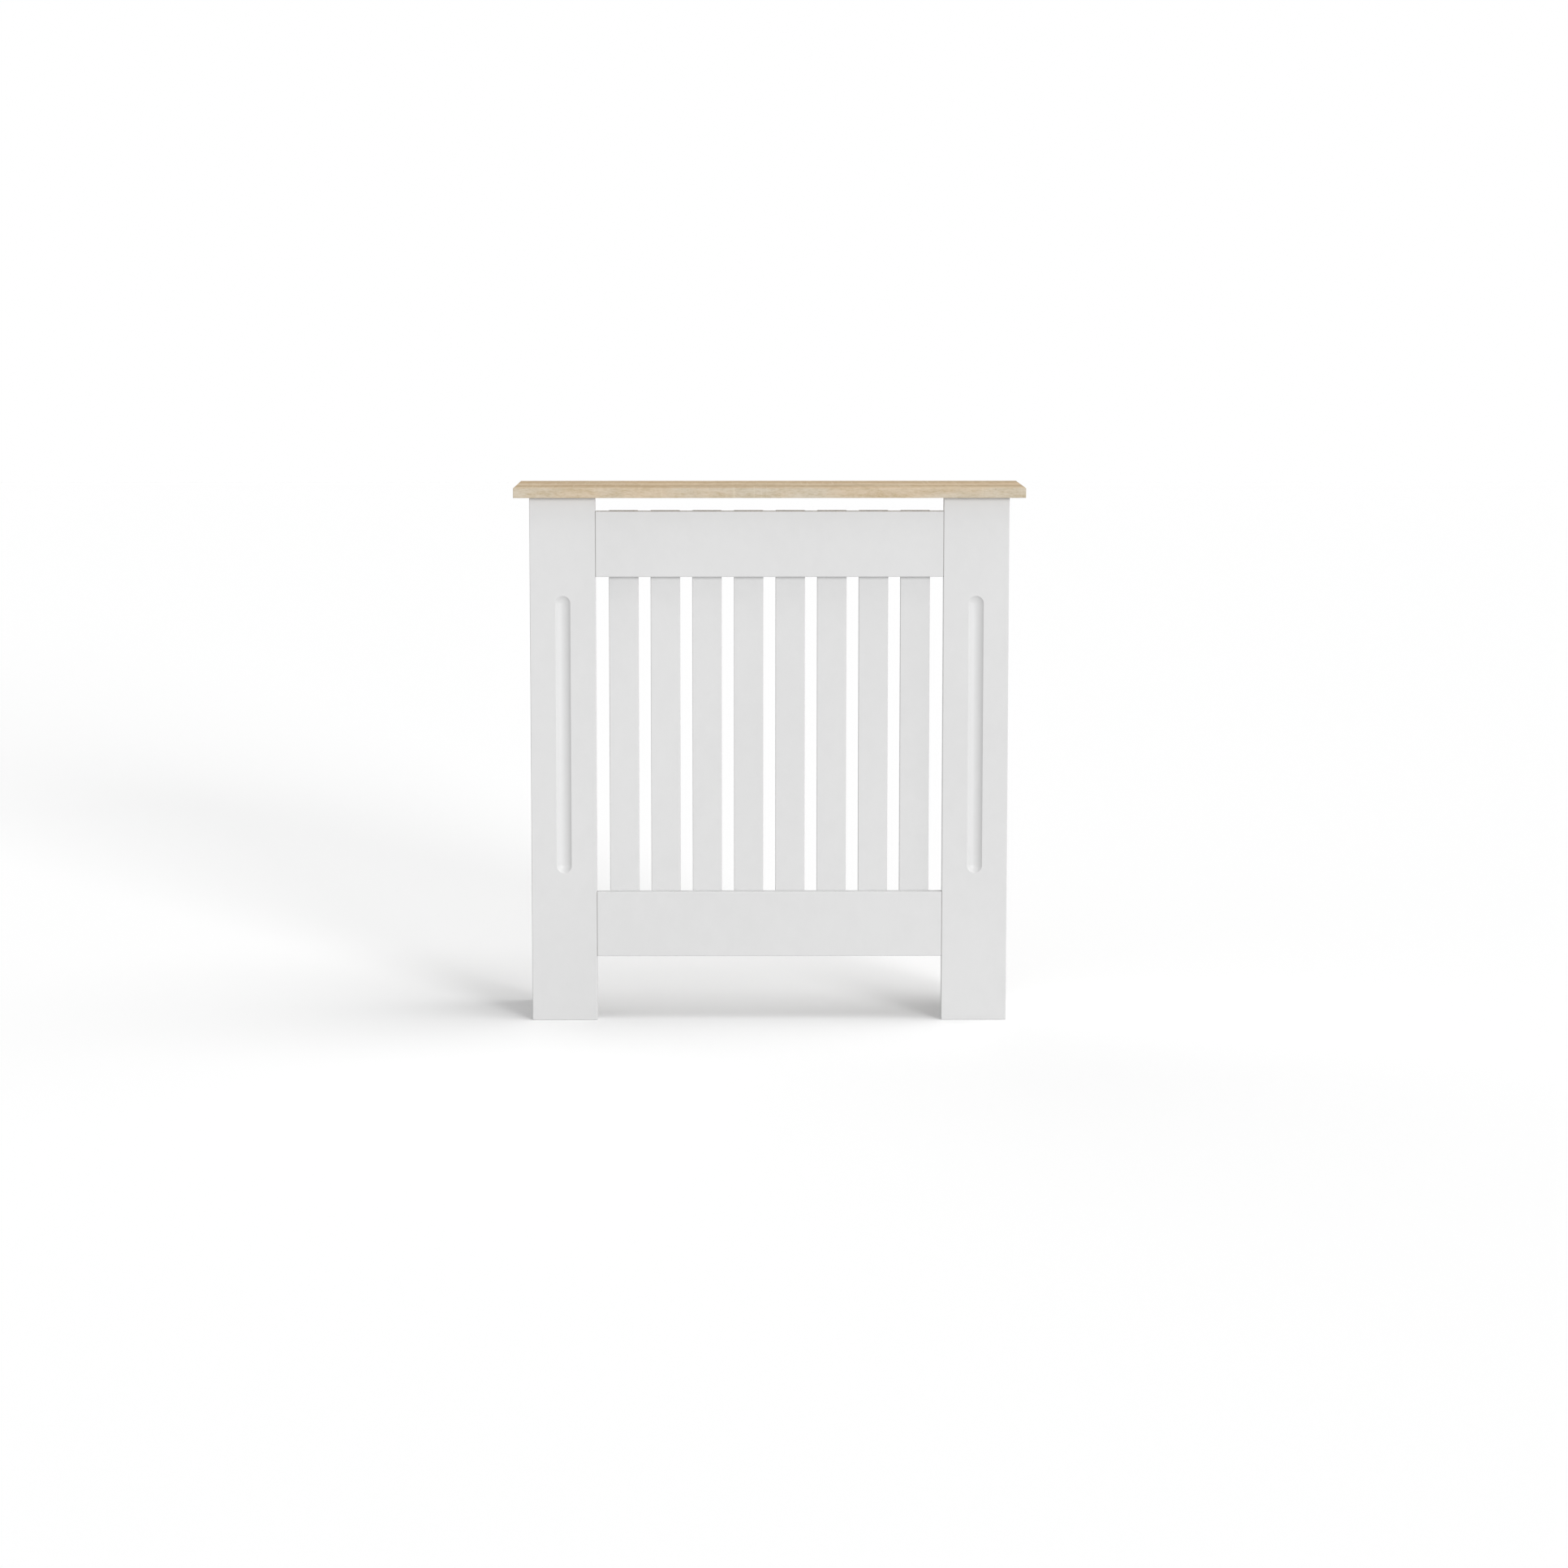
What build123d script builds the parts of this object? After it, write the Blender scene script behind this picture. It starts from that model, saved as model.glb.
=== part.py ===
from build123d import *

import math
import os

# Radiator cover cabinet, in millimetres. X runs along the wall, -Y faces the room,
# +Y faces the wall and +Z is up. The origin is on the floor, at the middle of the
# cabinet's width and depth. Left and right are as seen from the room.

# ---- Driving dimensions ------------------------------------------------------

# Carcass: every board is the same thickness.
BOARD = 15.0
TOP_WIDTH = 776.0
TOP_DEPTH = 190.0
HEIGHT = 821.0
FRONT_OVERHANG = 15.0
SIDE_OVERHANG = 23.5
POST_WIDTH = 100.0
PAINTED_ARRIS = 0.8
LAMINATE_ARRIS = 0.5

# Cut-out at the foot of each side panel, for the skirting board behind the cabinet.
SKIRTING_DEPTH = 20.0
SKIRTING_HEIGHT = 130.0

# Grille: two rails between the posts and eight slats standing behind them.
RAIL_HEIGHT = 100.0
LOWER_RAIL_Z = 100.0
UPPER_RAIL_Z = 685.0
SLAT_COUNT = 8
SLAT_WIDTH = 45.0
SLAT_PITCH = 63.5
SLAT_THICKNESS = 12.0

# Flute: one blind groove down each post, cut with a round-nosed cutter.
FLUTE_LENGTH = 427.0
FLUTE_WIDTH = 23.0
FLUTE_DEPTH = 5.5

# Dowels, glued: a face takes the shallow end, an edge takes the rest.
DOWEL_R = 4.0
DOWEL_LENGTH = 30.0
DOWEL_CHAMFER = 0.8
FACE_DEPTH = 10.0
GLUE_ROOM = 0.5
SNUG = 0.05

# Cam bolts: threaded end, shank, neck and a ball that the cam grips.
BOLT_THREAD_R = 3.0
BOLT_THREAD_LENGTH = 10.5
BOLT_TIP = 1.0
BOLT_SHANK_R = 3.2
BOLT_SHANK_LENGTH = 14.0
BOLT_TAPER = 1.2
BOLT_NECK_R = 2.0
BALL_R = 3.4
BOLT_BORE_R = 4.0

# Cam locks: a disc turned in a stopped bore, on the line of its bolt.
CAM_SETBACK = 24.0
CAM_BORE_R = 7.5
CAM_BORE_DEPTH = 12.5
CAM_SIDE_GAP = 0.08
CAM_END_GAP = 0.2
CAM_POCKET_R = 4.1
CAM_POCKET_HEIGHT = 7.0
CAM_THROW = 0.4
BALL_TO_CAM_AXIS = 1.2
CAM_SLOT_HEIGHT = 4.7
CAM_MOUTH_R = 3.6
CAM_WEB_ANGLE = 56.0
DRIVER_SPAN = 7.0
DRIVER_WIDTH = 1.4
DRIVER_DEPTH = 2.5

# Screws: countersunk ones through the slats, pan-headed ones in the wall brackets.
SCREW_R = 1.75
SLAT_SCREW_LENGTH = 20.0
SLAT_SCREW_HEAD_R = 3.4
SCREW_POINT = 3.0
HEAD_RECESS = 0.3
BRACKET_SCREW_LENGTH = 12.0
PAN_HEAD_R = 3.5
PAN_HEAD_THICKNESS = 2.0

# Wall brackets: short lengths of steel angle, two holes in each leg.
BRACKET_LEG = 20.0
BRACKET_HEIGHT = 40.0
BRACKET_THICKNESS = 2.0
BRACKET_BEND_R = 1.0
BRACKET_HOLE_R = 2.25
BRACKET_HOLE_FROM_CORNER = 12.0
BRACKET_HOLE_SPACING = 24.0
BRACKET_MID_Z = 710.0

# Places of the fittings along each joint.
RAIL_DOWEL_OFFSET = 32.0
PANEL_CAM_Z = {"upper": 710.0, "lower": 110.0}
PANEL_DOWEL_Z = (78.0, 410.0, 742.0)
TOP_CAM_Y = {"front": -8.0, "rear": 56.0}
TOP_DOWEL_Y = (-40.0, 24.0)

# ---- Planes and centre lines worked out from them ----------------------------

WALL_Y = TOP_DEPTH / 2
FRONT_Y = FRONT_OVERHANG - TOP_DEPTH / 2
FRAME_MID_Y = FRONT_Y + BOARD / 2
FRAME_BACK_Y = FRONT_Y + BOARD
SLAT_BACK_Y = FRAME_BACK_Y + SLAT_THICKNESS
UNDER_TOP_Z = HEIGHT - BOARD
OUTER_X = TOP_WIDTH / 2 - SIDE_OVERHANG
POST_INNER_X = OUTER_X - POST_WIDTH
POST_MID_X = OUTER_X - POST_WIDTH / 2
PANEL_INNER_X = OUTER_X - BOARD
PANEL_MID_X = OUTER_X - BOARD / 2
RAIL_Z = {"upper": UPPER_RAIL_Z, "lower": LOWER_RAIL_Z}
GRILLE_MID_Z = (LOWER_RAIL_Z + UPPER_RAIL_Z + RAIL_HEIGHT) / 2
SLAT_X = [(i - (SLAT_COUNT - 1) / 2) * SLAT_PITCH for i in range(SLAT_COUNT)]
SIDES = {"left": -1, "right": 1}


# ---- Boards ------------------------------------------------------------------


def board(low, high, arris=PAINTED_ARRIS):
    """A board between two opposite corners, with a small chamfer on every edge."""
    low = Vector(low)
    high = Vector(high)
    blank = Pos(*((low + high) / 2)) * Box(*(high - low))
    return chamfer(blank.edges(), arris)


def drilled(piece, cutters):
    """The piece with each hole cut into it that reaches it."""
    box = piece.bounding_box()
    for cutter in cutters:
        if cutter.bounding_box().overlaps(box):
            piece = piece - cutter
    return piece


def top_board():
    """The overhanging top, flush with the wall side of the cabinet."""
    low = (-TOP_WIDTH / 2, -TOP_DEPTH / 2, UNDER_TOP_Z)
    high = (TOP_WIDTH / 2, TOP_DEPTH / 2, HEIGHT)
    return board(low, high, LAMINATE_ARRIS)


def flute():
    """What the round-nosed cutter takes out: a rod with ball ends, sunk into the face."""
    nose_r = (FLUTE_DEPTH**2 + (FLUTE_WIDTH / 2) ** 2) / (2 * FLUTE_DEPTH)
    travel = FLUTE_LENGTH - FLUTE_WIDTH
    rod = Cylinder(nose_r, travel)
    ends = Pos(0, 0, travel / 2) * Sphere(nose_r) + Pos(0, 0, -travel / 2) * Sphere(nose_r)
    return Pos(0, FRONT_Y + FLUTE_DEPTH - nose_r, GRILLE_MID_Z) * (rod + ends)


def post(side):
    """A front post with its flute, its foot on the floor."""
    low = (-POST_WIDTH / 2, FRONT_Y, 0)
    high = (POST_WIDTH / 2, FRAME_BACK_Y, UNDER_TOP_Z)
    return Pos(side * POST_MID_X, 0, 0) * (board(low, high) - flute())


def side_panel(side):
    """A side panel behind its post, cut away at the foot for the skirting board."""
    low = (-BOARD / 2, FRAME_BACK_Y, 0)
    high = (BOARD / 2, WALL_Y, UNDER_TOP_Z)
    notch_at = Pos(0, WALL_Y - SKIRTING_DEPTH / 2, SKIRTING_HEIGHT / 2)
    notch = notch_at * Box(2 * BOARD, SKIRTING_DEPTH, SKIRTING_HEIGHT)
    return Pos(side * PANEL_MID_X, 0, 0) * (board(low, high) - notch)


def rail(bottom_z):
    """A rail between the posts, flush with their front and back faces."""
    low = (-POST_INNER_X, FRONT_Y, bottom_z)
    high = (POST_INNER_X, FRAME_BACK_Y, bottom_z + RAIL_HEIGHT)
    return board(low, high)


def slat(mid_x):
    """A slat on the backs of both rails, ending level with their outer edges."""
    low = (mid_x - SLAT_WIDTH / 2, FRAME_BACK_Y, LOWER_RAIL_Z)
    high = (mid_x + SLAT_WIDTH / 2, SLAT_BACK_Y, UPPER_RAIL_Z + RAIL_HEIGHT)
    return board(low, high)


# ---- Fittings, each made along its own Z axis --------------------------------


def turned(*outline):
    """A turned piece: the outline's lines revolved about Z, closed along that axis."""
    edges = Curve() + list(outline)
    closing = Line(edges @ 1, edges @ 0)
    return revolve(make_face(Plane.XZ * (edges + closing)), Axis.Z)


def dowel(gap=0.0, end_room=0.0):
    """A dowel with chamfered ends. With a gap and end room, it is the hole for it."""
    length = DOWEL_LENGTH + 2 * end_room
    rod = Cylinder(DOWEL_R + gap, length)
    if gap:
        return rod
    return chamfer(rod.edges().filter_by(GeomType.CIRCLE), DOWEL_CHAMFER)


def cam_bolt():
    """A cam bolt. Its thread lies below the joint plane, and its ball stands above."""
    ball_z = CAM_SETBACK - BALL_TO_CAM_AXIS
    neck_end_z = ball_z - math.sqrt(BALL_R**2 - BOLT_NECK_R**2)
    stem = Polyline(
        (0, -BOLT_THREAD_LENGTH),
        (BOLT_THREAD_R - BOLT_TIP, -BOLT_THREAD_LENGTH),
        (BOLT_THREAD_R, BOLT_TIP - BOLT_THREAD_LENGTH),
        (BOLT_THREAD_R, 0),
        (BOLT_SHANK_R, 0),
        (BOLT_SHANK_R, BOLT_SHANK_LENGTH),
        (BOLT_NECK_R, BOLT_SHANK_LENGTH + BOLT_TAPER),
        (BOLT_NECK_R, neck_end_z),
    )
    ball = ThreePointArc(stem @ 1, (BALL_R, ball_z), (0, ball_z + BALL_R))
    return turned(stem, ball)


def cam_bolt_hole():
    """The pilot hole for the thread, and the bore that the shank and ball pass through."""
    pilot_depth = BOLT_THREAD_LENGTH + GLUE_ROOM
    pilot = Pos(0, 0, -pilot_depth / 2) * Cylinder(BOLT_THREAD_R + SNUG, pilot_depth)
    bore = Pos(0, 0, CAM_SETBACK / 2) * Cylinder(BOLT_BORE_R, CAM_SETBACK)
    return pilot + bore


def cam_bore():
    """The stopped bore for a cam. Z = 0 is the bolt's line, half way through the board."""
    face_z = BOARD / 2
    return Pos(0, 0, face_z - CAM_BORE_DEPTH / 2) * Cylinder(CAM_BORE_R, CAM_BORE_DEPTH)


def cam_lock():
    """A cam, locked, with its bolt coming in along +X and its face towards +Z.

    The ball sits in a round pocket that is off the cam's axis by the throw, so a half turn
    moves the pocket's wall by twice the throw. The neck runs in a slot that goes round the
    rim except at one web, and the ball can leave only by the mouth, opposite the bolt.
    """
    face_z = BOARD / 2 - CAM_END_GAP
    back_z = BOARD / 2 - CAM_BORE_DEPTH + CAM_END_GAP
    radius = CAM_BORE_R - CAM_SIDE_GAP
    disc = Pos(0, 0, (face_z + back_z) / 2) * Cylinder(radius, face_z - back_z)

    pocket = Pos(-CAM_THROW, 0, 0) * Cylinder(CAM_POCKET_R, CAM_POCKET_HEIGHT)
    mouth = Pos(-radius / 2, 0, 0) * Rot(0, 90, 0) * Cylinder(CAM_MOUTH_R, radius)

    half_web = math.radians(CAM_WEB_ANGLE / 2)
    reach = 2 * radius
    web_x = reach * math.sin(half_web)
    web_y = reach * math.cos(half_web)
    web_outline = Polyline((0, 0), (web_x, web_y), (-web_x, web_y), close=True)
    web = extrude(make_face(web_outline), CAM_SLOT_HEIGHT / 2, both=True)
    slot = Cylinder(reach, CAM_SLOT_HEIGHT) - web

    driver_z = face_z - DRIVER_DEPTH / 2
    bar = Box(DRIVER_SPAN, DRIVER_WIDTH, DRIVER_DEPTH)
    driver = Pos(0, 0, driver_z) * (bar + Rot(0, 0, 90) * bar)
    return disc - pocket - mouth - slot - driver


def slat_screw(gap=0.0):
    """A countersunk screw, head up at Z = 0. With a gap, it is the hole for it."""
    head_r = SLAT_SCREW_HEAD_R + gap
    shank_r = SCREW_R + gap
    tip_z = -SLAT_SCREW_LENGTH - gap
    outline = Polyline(
        (0, 0),
        (head_r, 0),
        (shank_r, shank_r - head_r),
        (shank_r, tip_z + SCREW_POINT),
        (0, tip_z),
    )
    screw = turned(outline)
    if gap:
        screw += Pos(0, 0, HEAD_RECESS) * Cylinder(head_r, 2 * HEAD_RECESS)
    return screw


def bracket_screw():
    """A pan-headed screw, with the underside of its head at Z = 0."""
    outline = Polyline(
        (0, PAN_HEAD_THICKNESS),
        (PAN_HEAD_R - PAN_HEAD_THICKNESS / 2, PAN_HEAD_THICKNESS),
        (PAN_HEAD_R, PAN_HEAD_THICKNESS / 2),
        (PAN_HEAD_R, 0),
        (SCREW_R, 0),
        (SCREW_R, SCREW_POINT - BRACKET_SCREW_LENGTH),
        (0, -BRACKET_SCREW_LENGTH),
    )
    return turned(outline)


def wall_bracket(side):
    """Steel angle in the corner between a side panel and the wall, with four round holes."""
    leg = BRACKET_LEG
    thick = BRACKET_THICKNESS
    outline = Polyline(
        (0, 0), (0, -leg), (-thick, -leg), (-thick, -thick), (-leg, -thick), (-leg, 0), close=True
    )
    angle = extrude(make_face(outline), BRACKET_HEIGHT / 2, both=True)
    upright = angle.edges().filter_by(Axis.Z).sort_by_distance((0, 0, 0))
    angle = fillet(upright[0], BRACKET_BEND_R + thick)
    inside = angle.edges().filter_by(Axis.Z).sort_by_distance((-thick, -thick, 0))
    angle = fillet(inside[0], BRACKET_BEND_R)
    for z in (-BRACKET_HOLE_SPACING / 2, BRACKET_HOLE_SPACING / 2):
        hole = Cylinder(BRACKET_HOLE_R, 3 * thick)
        angle -= Pos(-thick / 2, -BRACKET_HOLE_FROM_CORNER, z) * Rot(0, 90, 0) * hole
        angle -= Pos(-BRACKET_HOLE_FROM_CORNER, -thick / 2, z) * Rot(90, 0, 0) * hole
    placed = Pos(PANEL_INNER_X, WALL_Y, BRACKET_MID_Z) * angle
    return placed if side > 0 else mirror(placed, Plane.YZ)


# ---- Where each fitting goes -------------------------------------------------
# A place is a plane on the joint, with its Z pointing into the board that takes the
# cam or the long end of the dowel.


def rail_bolt_places(side):
    """Cam bolts in the end of each rail, reaching into the post."""
    places = {}
    for level, z in RAIL_Z.items():
        middle = (side * POST_INNER_X, FRAME_MID_Y, z + RAIL_HEIGHT / 2)
        places[f"{level}_rail"] = Plane(middle, z_dir=(side, 0, 0))
    return places


def panel_bolt_places(side):
    """Cam bolts in the back of a post, reaching into its side panel."""
    return {
        f"{level}_panel": Plane((side * PANEL_MID_X, FRAME_BACK_Y, z), z_dir=(0, 1, 0))
        for level, z in PANEL_CAM_Z.items()
    }


def top_bolt_places(side):
    """Cam bolts under the top board, reaching down into a side panel."""
    return {
        f"{end}_top": Plane((side * PANEL_MID_X, y, UNDER_TOP_Z), z_dir=(0, 0, -1))
        for end, y in TOP_CAM_Y.items()
    }


def rail_dowel_places(side):
    """Two dowels at each rail end, half in the rail and half in the post."""
    places = []
    for z in RAIL_Z.values():
        for offset in (-RAIL_DOWEL_OFFSET, RAIL_DOWEL_OFFSET):
            middle = (side * POST_INNER_X, FRAME_MID_Y, z + RAIL_HEIGHT / 2 + offset)
            places.append(Plane(middle, z_dir=(side, 0, 0)))
    return places


def panel_dowel_places(side):
    """Dowels between a post's back face and its side panel's front edge."""
    middle_y = FRAME_BACK_Y + DOWEL_LENGTH / 2 - FACE_DEPTH
    return [Plane((side * PANEL_MID_X, middle_y, z), z_dir=(0, 1, 0)) for z in PANEL_DOWEL_Z]


def top_dowel_places(side):
    """Dowels between the top board and the upper edges of a side panel and a post."""
    middle_z = UNDER_TOP_Z - (DOWEL_LENGTH / 2 - FACE_DEPTH)
    over_panel = [(side * PANEL_MID_X, y) for y in TOP_DOWEL_Y]
    over_post = [(side * POST_MID_X, FRAME_MID_Y)]
    return [Plane((x, y, middle_z), z_dir=(0, 0, -1)) for x, y in over_panel + over_post]


def cam_place(bolt_place, face_dir):
    """Where a cam sits for a bolt: X back towards the bolt's root, Z out of the open face."""
    centre = bolt_place.origin + bolt_place.z_dir * CAM_SETBACK
    return Plane(centre, x_dir=-bolt_place.z_dir, z_dir=face_dir)


def slat_screw_places(level):
    """One screw where each slat crosses a rail, driven from behind."""
    mid_z = RAIL_Z[level] + RAIL_HEIGHT / 2
    head_y = SLAT_BACK_Y - HEAD_RECESS
    return [Plane((x, head_y, mid_z), z_dir=(0, 1, 0)) for x in SLAT_X]


def bracket_screw_places(side):
    """Two screws through a wall bracket into the inside of its side panel."""
    x = side * (PANEL_INNER_X - BRACKET_THICKNESS)
    y = WALL_Y - BRACKET_HOLE_FROM_CORNER
    return [
        Plane((x, y, BRACKET_MID_Z + offset), z_dir=(-side, 0, 0))
        for offset in (-BRACKET_HOLE_SPACING / 2, BRACKET_HOLE_SPACING / 2)
    ]


# ---- The assembly ------------------------------------------------------------


def assemble():
    """Every node by name, each in its place."""
    bolts = {"rail": [], "panel": [], "top": []}
    cams = {}
    for name, side in SIDES.items():
        for kind, places, face_dir in (
            ("rail", rail_bolt_places(side), (0, 1, 0)),
            ("panel", panel_bolt_places(side), (-side, 0, 0)),
            ("top", top_bolt_places(side), (-side, 0, 0)),
        ):
            bolts[kind] += places.values()
            for where, place in places.items():
                cams[f"{name}_{where}_cam"] = cam_place(place, face_dir)
    dowels = {"rail": [], "panel": [], "top": []}
    bracket_screws = []
    for side in SIDES.values():
        dowels["rail"] += rail_dowel_places(side)
        dowels["panel"] += panel_dowel_places(side)
        dowels["top"] += top_dowel_places(side)
        bracket_screws += bracket_screw_places(side)
    slat_screws = {level: slat_screw_places(level) for level in RAIL_Z}

    holes = [place * cam_bolt_hole() for group in bolts.values() for place in group]
    holes += [place * cam_bore() for place in cams.values()]
    holes += [place * dowel(SNUG, GLUE_ROOM) for group in dowels.values() for place in group]
    holes += [place * slat_screw(SNUG) for group in slat_screws.values() for place in group]
    pilot_depth = BRACKET_SCREW_LENGTH + GLUE_ROOM
    pilot = Pos(0, 0, -pilot_depth / 2) * Cylinder(SCREW_R + SNUG, pilot_depth)
    holes += [place * pilot for place in bracket_screws]

    nodes = {"top_board": drilled(top_board(), holes)}
    for level, z in RAIL_Z.items():
        nodes[f"{level}_rail"] = drilled(rail(z), holes)
    for number, x in enumerate(SLAT_X, 1):
        nodes[f"slat_{number}"] = drilled(slat(x), holes)
    for name, side in SIDES.items():
        nodes[f"{name}_post"] = drilled(post(side), holes)
        nodes[f"{name}_side_panel"] = drilled(side_panel(side), holes)
        nodes[f"{name}_wall_bracket"] = wall_bracket(side)
    for kind, places in bolts.items():
        nodes[f"{kind}_cam_bolts"] = Compound([place * cam_bolt() for place in places])
    for kind, places in dowels.items():
        nodes[f"{kind}_dowels"] = Compound([place * dowel() for place in places])
    for level, places in slat_screws.items():
        nodes[f"{level}_slat_screws"] = Compound([place * slat_screw() for place in places])
    nodes["bracket_screws"] = Compound([place * bracket_screw() for place in bracket_screws])
    for name, place in cams.items():
        nodes[name] = place * cam_lock()
    return nodes


os.makedirs("parts", exist_ok=True)
for node, shape in assemble().items():
    export_step(shape, f"parts/{node}.step")
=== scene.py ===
import math

import bpy
import numpy as np
from mathutils import Matrix


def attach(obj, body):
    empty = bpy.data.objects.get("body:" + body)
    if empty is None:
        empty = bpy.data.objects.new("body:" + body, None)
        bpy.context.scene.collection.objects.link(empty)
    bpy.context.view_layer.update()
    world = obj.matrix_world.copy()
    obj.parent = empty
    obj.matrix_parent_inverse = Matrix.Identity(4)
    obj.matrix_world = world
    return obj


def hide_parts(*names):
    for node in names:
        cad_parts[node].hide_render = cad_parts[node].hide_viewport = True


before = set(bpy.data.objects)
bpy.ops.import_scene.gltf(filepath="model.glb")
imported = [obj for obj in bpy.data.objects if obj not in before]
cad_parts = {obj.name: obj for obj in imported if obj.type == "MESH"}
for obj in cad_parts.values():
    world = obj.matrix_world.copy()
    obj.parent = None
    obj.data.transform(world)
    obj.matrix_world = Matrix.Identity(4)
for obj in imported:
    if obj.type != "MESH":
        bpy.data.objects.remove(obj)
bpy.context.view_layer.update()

# Radiator cover cabinet, in metres. X runs along the wall, -Y faces the room, +Z is up,
# and the origin is on the floor, at the middle of the cabinet's width and depth.

# ---- Places taken from the cabinet's drawing ----------------------------------------

MM = 0.001
SIDES = {"left": -1.0, "right": 1.0}

# Boards.
TOP_HALF_WIDTH, TOP_HALF_DEPTH = 0.388, 0.095
UNDER_TOP_Z, TOP_MID_Z = 0.806, 0.8135
STRIP_THICKNESS, SEAM_HALF_WIDTH = 0.8 * MM, 0.12 * MM
POST_INNER_X, POST_MID_X, POST_BACK_Y = 0.2645, 0.3145, -0.065
PANEL_MID_X = 0.357
FRAME_MID_Y = -0.0725
RAIL_MID_Z = {"lower": 0.150, "upper": 0.735}
RAIL_HALF_HEIGHT = 0.050
SLAT_COUNT, SLAT_PITCH = 8, 0.0635
SLAT_X = (np.arange(SLAT_COUNT) - (SLAT_COUNT - 1) / 2) * SLAT_PITCH

# Dowels: how far a rail's dowels are above and below its middle, and how far past its
# joint the middle of any other dowel is.
RAIL_DOWEL_OFFSET = 0.032
DOWEL_SHIFT = 0.005
PANEL_DOWEL_Z = (0.078, 0.410, 0.742)
TOP_DOWEL_Y = (-0.040, 0.024)

# Cam bolts and cams: the setback runs from the joint to the cam's axis, and the other
# distance from the middle of the board out to the cam's face.
PANEL_BOLT_Z = {"lower": 0.110, "upper": 0.710}
TOP_BOLT_Y = {"front": -0.008, "rear": 0.056}
CAM_SETBACK = 0.024
CAM_FACE = 0.0073

# Screws: the slat screws' faces are at the first Y, and the bracket screws' heads lie on
# the brackets at the X. The turns are the angles at which their recesses have stopped.
SLAT_SCREW_Y = -0.0533
SLAT_SCREW_TURNS = np.radians(17.0 + 37.0 * np.arange(SLAT_COUNT))
BRACKET_SCREW_X, BRACKET_SCREW_Y = 0.3475, 0.083
BRACKET_SCREW_Z = (0.698, 0.722)
BRACKET_SCREW_TURNS = (0.3, 1.1)

# Raw board shows within these radii and between these depths of the bored boards.
CAM_BORE_RADIUS, HEAD_BORE_RADIUS = 7.75 * MM, 3.6 * MM
POST_BORE_Y = (-0.0785, -0.0645)
PANEL_BORE_X = (0.3490, 0.3630)
SLAT_BORE_Y = (-0.0640, -0.0525)


# ---- Camera -------------------------------------------------------------------------

SENSOR_WIDTH, LENS_LENGTH = 36.0, 78.84
LENS_SHIFT_X, LENS_SHIFT_Y = 0.017, -0.09
NEAREST_SEEN, FARTHEST_SEEN = 0.05, 100.0
CAMERA_PLACE = (-0.0462, -5.2803, 1.1354)
DEGREES_DOWN, DEGREES_RIGHT = 6.05, 0.305


def place_camera():
    """The camera stands in the room, a little left of the middle and above the top board,
    and looks slightly down and to the right."""
    lens = bpy.data.cameras.new("camera")
    lens.sensor_width = SENSOR_WIDTH
    lens.lens = LENS_LENGTH
    lens.shift_x = LENS_SHIFT_X
    lens.shift_y = LENS_SHIFT_Y
    lens.clip_start = NEAREST_SEEN
    lens.clip_end = FARTHEST_SEEN
    stand = bpy.data.objects.new("camera", lens)
    stand.location = CAMERA_PLACE
    stand.rotation_euler = (math.radians(90.0 - DEGREES_DOWN), 0.0, math.radians(-DEGREES_RIGHT))
    bpy.context.scene.collection.objects.link(stand)
    bpy.context.scene.camera = stand


# ---- Colours ------------------------------------------------------------------------


def tint(red, green, blue):
    """A colour written from 0 to 255 as a screen shows it, turned into light levels."""
    level = np.array([red, green, blue]) / 255.0
    light = np.where(level > 0.04045, ((level + 0.055) / 1.055) ** 2.4, level / 12.92)
    return (*light.tolist(), 1.0)


LACQUER_DARK, LACQUER_PALE = tint(214, 214, 214), tint(217, 217, 217)
# The colour of the painted shadow in the gaps where the rails meet their posts.
JOINT_PAINTED_SHADOW = tint(168, 167, 165)
FIBRE_DARK, FIBRE_PALE = tint(126, 97, 68), tint(181, 150, 113)
OAK_DARK, OAK_PALE, OAK_BLUSH = tint(167, 145, 112), tint(206, 187, 157), tint(204, 172, 141)
STRIP_DARK, STRIP_PALE, STRIP_PATCH = tint(184, 168, 139), tint(208, 195, 175), tint(204, 188, 166)
PORE_BROWN, SAW_MARK, SEAM_BROWN = tint(142, 118, 86), tint(222, 211, 190), tint(134, 110, 80)
COOL_CAST, WARM_CAST = (0.985, 1.02, 1.06, 1.0), (1.015, 0.98, 0.94, 1.0)
BEECH_DARK, BEECH_PALE, BEECH_FLECK = tint(196, 160, 116), tint(222, 190, 148), tint(160, 116, 76)
CAST_DARK, CAST_PALE, CAST_RUBBED = tint(150, 150, 148), tint(186, 186, 183), tint(208, 208, 206)

# The dark and the pale grey of each zinc plate, and its least and greatest roughness.
ZINC_PLATES = {
    "zinc_plated_bolt": (tint(176, 178, 182), tint(204, 205, 207), 0.24, 0.36),
    "zinc_plated_screw": (tint(186, 187, 189), tint(214, 214, 213), 0.22, 0.34),
    "zinc_plated_bracket": (tint(174, 177, 181), tint(203, 205, 208), 0.28, 0.44),
}


# ---- Finishes -----------------------------------------------------------------------


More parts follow.
